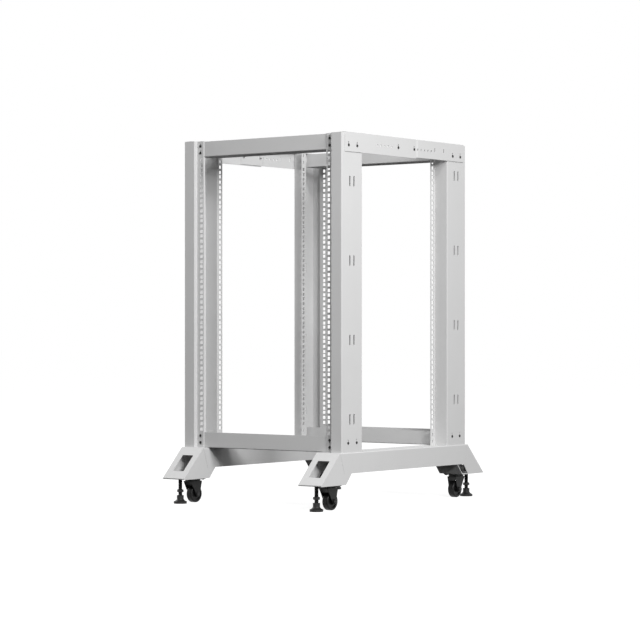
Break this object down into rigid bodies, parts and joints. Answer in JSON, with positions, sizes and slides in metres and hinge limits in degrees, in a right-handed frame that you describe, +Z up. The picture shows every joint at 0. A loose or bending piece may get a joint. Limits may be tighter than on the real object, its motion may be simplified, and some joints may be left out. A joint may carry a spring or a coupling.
{
  "type": "open-frame rack",
  "caption": "Four-post open-frame equipment rack of bent sheet steel with square-hole strips, floor rails, swivel castors and levelling feet.",
  "frame": {"origin": "on the floor under the rack's middle", "axes": "+X to the right as seen from the front, +Y to the rear, +Z up"},
  "size_m": [0.578, 0.813, 1.0571],
  "materials": {
    "frame_paint": "satin powder coat",
    "castor_steel": "black coat",
    "castor_wheel": "matte",
    "leveller_steel": "black oxide",
    "leveller_pad": "matte"
  },
  "bodies": {
    "frame": {"post_front_left": "frame_paint", "post_front_right": "frame_paint", "post_rear_left": "frame_paint", "post_rear_right": "frame_paint", "beam_top_front": "frame_paint", "beam_top_rear": "frame_paint", "beam_bottom_front": "frame_paint", "beam_bottom_rear": "frame_paint", "top_rail_left_front": "frame_paint", "top_rail_left_rear": "frame_paint", "top_rail_right_front": "frame_paint", "top_rail_right_rear": "frame_paint", "floor_rail_left": "frame_paint", "floor_rail_right": "frame_paint", "foot_front_left": "frame_paint", "foot_front_right": "frame_paint", "foot_rear_left": "frame_paint", "foot_rear_right": "frame_paint", "castor_plate_front_left": "castor_steel", "castor_plate_front_right": "castor_steel", "castor_plate_rear_left": "castor_steel", "castor_plate_rear_right": "castor_steel"},
    "castor_swivel_front_left": {"castor_fork_front_left": "castor_steel", "castor_axle_front_left": "castor_steel"},
    "castor_roller_front_left": {"castor_wheel_front_left": "castor_wheel"},
    "leveller_front_left": {"leveller_stem_front_left": "leveller_steel", "leveller_pad_front_left": "leveller_pad"},
    "castor_swivel_front_right": {"castor_fork_front_right": "castor_steel", "castor_axle_front_right": "castor_steel"},
    "castor_roller_front_right": {"castor_wheel_front_right": "castor_wheel"},
    "leveller_front_right": {"leveller_stem_front_right": "leveller_steel", "leveller_pad_front_right": "leveller_pad"},
    "castor_swivel_rear_left": {"castor_fork_rear_left": "castor_steel", "castor_axle_rear_left": "castor_steel"},
    "castor_roller_rear_left": {"castor_wheel_rear_left": "castor_wheel"},
    "leveller_rear_left": {"leveller_stem_rear_left": "leveller_steel", "leveller_pad_rear_left": "leveller_pad"},
    "castor_swivel_rear_right": {"castor_fork_rear_right": "castor_steel", "castor_axle_rear_right": "castor_steel"},
    "castor_roller_rear_right": {"castor_wheel_rear_right": "castor_wheel"},
    "leveller_rear_right": {"leveller_stem_rear_right": "leveller_steel", "leveller_pad_rear_right": "leveller_pad"}
  },
  "joints": [
    {"name": "castor_turn_front_left", "type": "hinge", "parent": "frame", "child": "castor_swivel_front_left", "pos_m": [-0.248, -0.3195, 0.07], "axis": [0, 0, 1], "continuous": true},
    {"name": "wheel_spin_front_left", "type": "hinge", "parent": "castor_swivel_front_left", "child": "castor_roller_front_left", "pos_m": [-0.248, -0.3133, 0.025], "axis": [1, 0, 0], "continuous": true},
    {"name": "leveller_lift_front_left", "type": "slide", "parent": "frame", "child": "leveller_front_left", "axis": [0, 0, 1], "range_m": [-0.012, 0.025]},
    {"name": "castor_turn_front_right", "type": "hinge", "parent": "frame", "child": "castor_swivel_front_right", "pos_m": [0.248, -0.3195, 0.07], "axis": [0, 0, 1], "continuous": true},
    {"name": "wheel_spin_front_right", "type": "hinge", "parent": "castor_swivel_front_right", "child": "castor_roller_front_right", "pos_m": [0.248, -0.3133, 0.025], "axis": [1, 0, 0], "continuous": true},
    {"name": "leveller_lift_front_right", "type": "slide", "parent": "frame", "child": "leveller_front_right", "axis": [0, 0, 1], "range_m": [-0.012, 0.025]},
    {"name": "castor_turn_rear_left", "type": "hinge", "parent": "frame", "child": "castor_swivel_rear_left", "pos_m": [-0.248, 0.3195, 0.07], "axis": [0, 0, 1], "continuous": true},
    {"name": "wheel_spin_rear_left", "type": "hinge", "parent": "castor_swivel_rear_left", "child": "castor_roller_rear_left", "pos_m": [-0.248, 0.3133, 0.025], "axis": [1, 0, 0], "continuous": true},
    {"name": "leveller_lift_rear_left", "type": "slide", "parent": "frame", "child": "leveller_rear_left", "axis": [0, 0, 1], "range_m": [-0.012, 0.025]},
    {"name": "castor_turn_rear_right", "type": "hinge", "parent": "frame", "child": "castor_swivel_rear_right", "pos_m": [0.248, 0.3195, 0.07], "axis": [0, 0, 1], "continuous": true},
    {"name": "wheel_spin_rear_right", "type": "hinge", "parent": "castor_swivel_rear_right", "child": "castor_roller_rear_right", "pos_m": [0.248, 0.3133, 0.025], "axis": [1, 0, 0], "continuous": true},
    {"name": "leveller_lift_rear_right", "type": "slide", "parent": "frame", "child": "leveller_rear_right", "axis": [0, 0, 1], "range_m": [-0.012, 0.025]}
  ]
}
